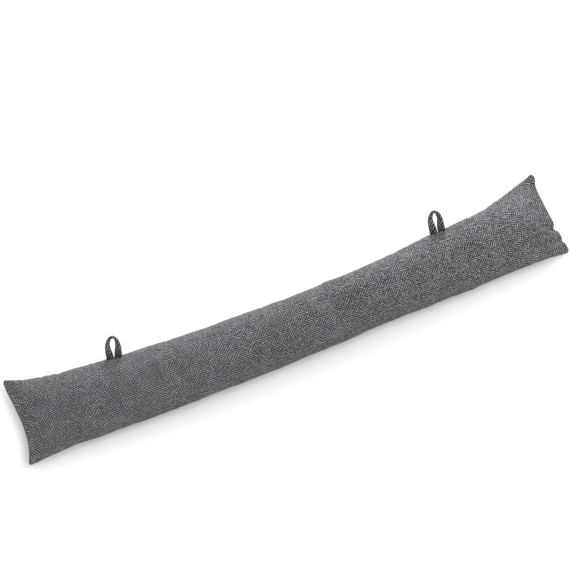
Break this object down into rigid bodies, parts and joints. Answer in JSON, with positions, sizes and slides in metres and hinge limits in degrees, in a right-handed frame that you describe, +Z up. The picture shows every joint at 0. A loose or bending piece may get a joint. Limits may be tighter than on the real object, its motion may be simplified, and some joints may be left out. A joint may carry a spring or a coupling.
{
  "type": "draught excluder",
  "caption": "Long filled cloth tube, sewn flat across both ends, with two small hanging loops in its long seam, lying on the floor.",
  "frame": {"origin": "on the floor, under the middle of the whole thing's box", "axes": "+X along its length from the left end to the right one, +Y to the back, where the long seam and its loops are, +Z up"},
  "size_m": [0.9084, 0.1548, 0.0896],
  "materials": {
    "tweed": "black and pale grey herringbone tweed, matt, slightly hairy"
  },
  "bodies": {
    "root": {"cover": "tweed", "loop_left": "tweed", "loop_right": "tweed"}
  },
  "joints": []
}
